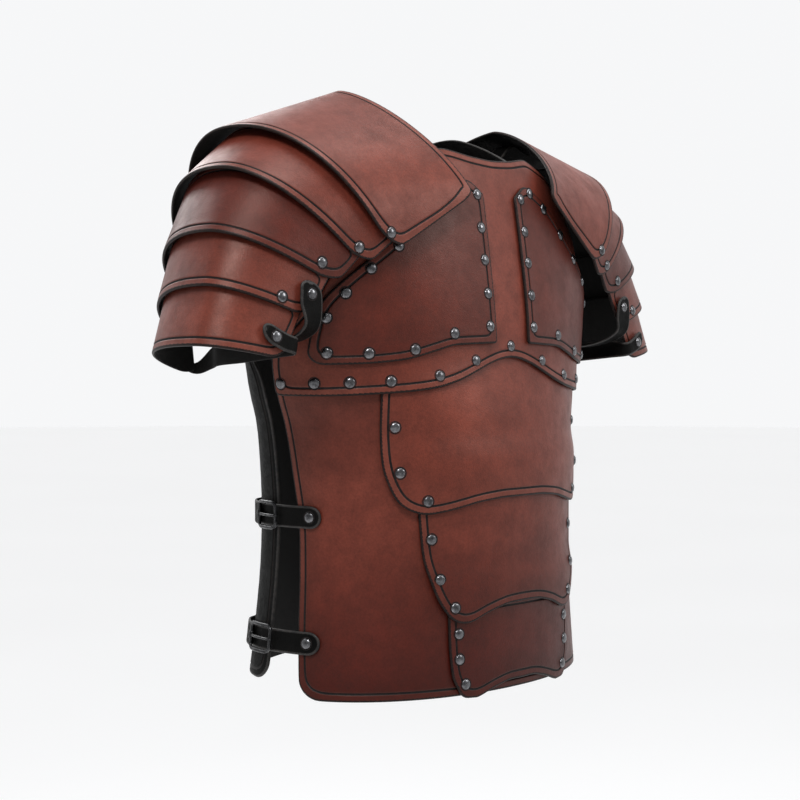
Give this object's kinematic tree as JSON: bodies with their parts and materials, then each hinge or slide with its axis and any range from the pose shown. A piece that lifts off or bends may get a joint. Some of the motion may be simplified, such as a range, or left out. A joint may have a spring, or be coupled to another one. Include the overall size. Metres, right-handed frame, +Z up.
{
  "type": "leather cuirass",
  "caption": "Worn leather torso armour: chest and belly plates, lapped shoulder lames, black back, side straps with buckles.",
  "frame": {"origin": "between the shoulders at the height of the neck opening, where the wearer carries the weight", "axes": "+Z up, the wearer faces -Y, the wearer's left is +X"},
  "size_m": [0.6752, 0.2757, 0.5809],
  "materials": {
    "leather": "smooth red-brown leather, satin, with black grooves and dark burnished edges",
    "strap": "black leather, semi-matt",
    "metal": "dark gunmetal, worn brighter on the high parts"
  },
  "bodies": {
    "root": {"chest_panel": "leather", "front_panel": "leather", "chest_plate_right": "leather", "chest_plate_left": "leather", "belly_plate_upper": "leather", "belly_plate_middle": "leather", "belly_plate_lower": "leather", "lame_1_right": "leather", "lame_2_right": "leather", "lame_3_right": "leather", "lame_4_right": "leather", "lame_5_right": "leather", "lame_1_left": "leather", "lame_2_left": "leather", "lame_3_left": "leather", "lame_4_left": "leather", "lame_5_left": "leather", "back_panel": "strap", "shoulder_strap_right": "strap", "pauldron_hanger_right": "strap", "arm_strap_upper_right": "strap", "arm_strap_lower_right": "strap", "side_strap_upper_right": "strap", "side_strap_lower_right": "strap", "buckle_strap_upper_right": "strap", "buckle_strap_lower_right": "strap", "shoulder_strap_left": "strap", "pauldron_hanger_left": "strap", "arm_strap_upper_left": "strap", "arm_strap_lower_left": "strap", "side_strap_upper_left": "strap", "side_strap_lower_left": "strap", "buckle_strap_upper_left": "strap", "buckle_strap_lower_left": "strap", "buckle_upper_right": "metal", "buckle_lower_right": "metal", "buckle_upper_left": "metal", "buckle_lower_left": "metal"}
  },
  "joints": []
}
